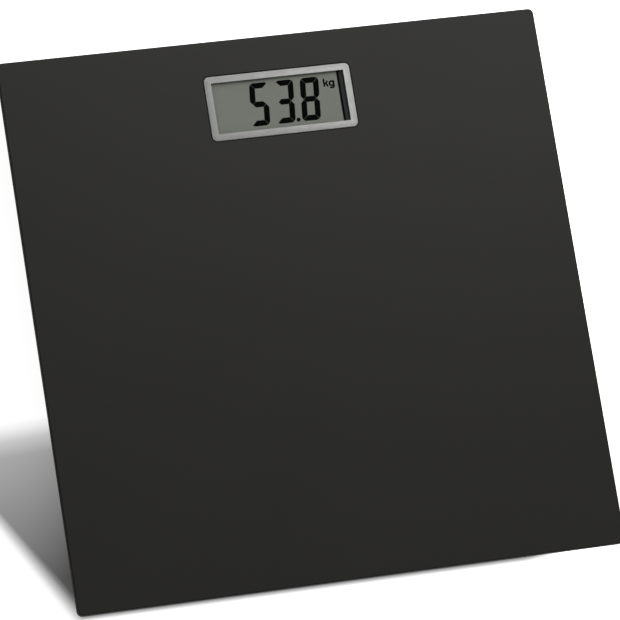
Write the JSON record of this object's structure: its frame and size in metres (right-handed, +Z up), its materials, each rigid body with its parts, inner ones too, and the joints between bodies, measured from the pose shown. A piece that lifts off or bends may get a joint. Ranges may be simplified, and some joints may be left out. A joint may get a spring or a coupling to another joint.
{
  "type": "digital bathroom scale",
  "caption": "Square glass-topped digital bathroom scale on captive load-cell feet, with a framed liquid-crystal display let into the glass and a coin-cell housing below.",
  "frame": {"origin": "centre of the footprint, on the floor that the four rubber pads stand on", "axes": "+Z up out of the glass, +Y towards the display end, +X to the right of someone who stands on the scale and reads the display"},
  "size_m": [0.3, 0.3, 0.022],
  "materials": {
    "black_glass": "satin black tempered glass with ground edges",
    "silver_plastic": "satin silver paint on a moulded frame",
    "clear_lens": "clear acrylic window",
    "polarizer": "grey-green display film",
    "lcd_glass": "thin clear glass",
    "reflector": "brushed reflector film",
    "dark_plastic": "dark grey moulded plastic",
    "zebra": "layered silicone strip",
    "board": "green solder mask",
    "resin": "glossy black resin",
    "resistor": "black chip with tinned ends",
    "capacitor": "tan ceramic chip",
    "solder": "solder",
    "switch_black": "black moulded switch",
    "plunger": "cream moulded plunger",
    "button_grey": "grey moulded key",
    "contact": "nickel-plated spring strip",
    "coin_steel": "nickel-plated can",
    "black_abs": "black moulded plastic with fine texture",
    "screw_steel": "zinc-plated steel",
    "tape": "white foam tape",
    "spring_steel": "nickel-plated stamped steel",
    "sealant": "white silicone sealant",
    "foot_abs": "black moulded plastic",
    "pad_rubber": "soft black rubber",
    "lead_red": "red insulation",
    "lead_white": "white insulation",
    "lead_black": "black insulation"
  },
  "bodies": {
    "platform": {"glass_platform": "black_glass", "display_bezel": "silver_plastic", "display_lens": "clear_lens", "lcd_front_polarizer": "polarizer", "lcd_front_glass": "lcd_glass", "lcd_rear_glass": "lcd_glass", "lcd_reflector": "reflector", "lcd_holder": "dark_plastic", "zebra_connector": "zebra", "circuit_board": "board", "potted_chip": "resin", "chip_resistors": "resistor", "chip_capacitors": "capacitor", "solder_joints": "solder", "unit_switch": "switch_black", "battery_contact_plus": "contact", "battery_contact_minus": "contact", "coin_cell": "coin_steel", "housing_base": "black_abs", "housing_cover": "black_abs", "housing_screws": "screw_steel", "board_screws": "screw_steel", "housing_tape": "tape", "bracket_tapes": "tape", "sensor_leads_red": "lead_red", "sensor_leads_white": "lead_white", "sensor_leads_black": "lead_black", "sensor_bracket_front_left": "black_abs", "load_cell_front_left": "spring_steel", "strain_gauge_front_left": "sealant", "lead_cover_front_left": "black_abs", "sensor_bracket_front_right": "black_abs", "load_cell_front_right": "spring_steel", "strain_gauge_front_right": "sealant", "lead_cover_front_right": "black_abs", "sensor_bracket_heel_left": "black_abs", "load_cell_heel_left": "spring_steel", "strain_gauge_heel_left": "sealant", "lead_cover_heel_left": "black_abs", "sensor_bracket_heel_right": "black_abs", "load_cell_heel_right": "spring_steel", "strain_gauge_heel_right": "sealant", "lead_cover_heel_right": "black_abs"},
    "door": {"battery_door": "black_abs"},
    "unit_key": {"unit_button": "button_grey", "switch_plunger": "plunger"},
    "foot_body_front_left": {"foot_front_left": "foot_abs", "foot_pad_front_left": "pad_rubber"},
    "foot_body_front_right": {"foot_front_right": "foot_abs", "foot_pad_front_right": "pad_rubber"},
    "foot_body_heel_left": {"foot_heel_left": "foot_abs", "foot_pad_heel_left": "pad_rubber"},
    "foot_body_heel_right": {"foot_heel_right": "foot_abs", "foot_pad_heel_right": "pad_rubber"}
  },
  "joints": [
    {"name": "battery_door_hinge", "type": "hinge", "parent": "platform", "child": "door", "pos_m": [-0.028, 0.0802, 0.0054], "axis": [-1, 0, 0], "range_deg": [0, 95]},
    {"name": "unit_button_press", "type": "slide", "parent": "platform", "child": "unit_key", "axis": [0, 0, 1], "range_m": [0, 0.0003], "stiffness_N_per_m": 4000},
    {"name": "foot_play_front_left", "type": "slide", "parent": "platform", "child": "foot_body_front_left", "axis": [0, 0, -1], "range_m": [0, 0.0008]},
    {"name": "foot_play_front_right", "type": "slide", "parent": "platform", "child": "foot_body_front_right", "axis": [0, 0, -1], "range_m": [0, 0.0008]},
    {"name": "foot_play_heel_left", "type": "slide", "parent": "platform", "child": "foot_body_heel_left", "axis": [0, 0, -1], "range_m": [0, 0.0008]},
    {"name": "foot_play_heel_right", "type": "slide", "parent": "platform", "child": "foot_body_heel_right", "axis": [0, 0, -1], "range_m": [0, 0.0008]}
  ]
}
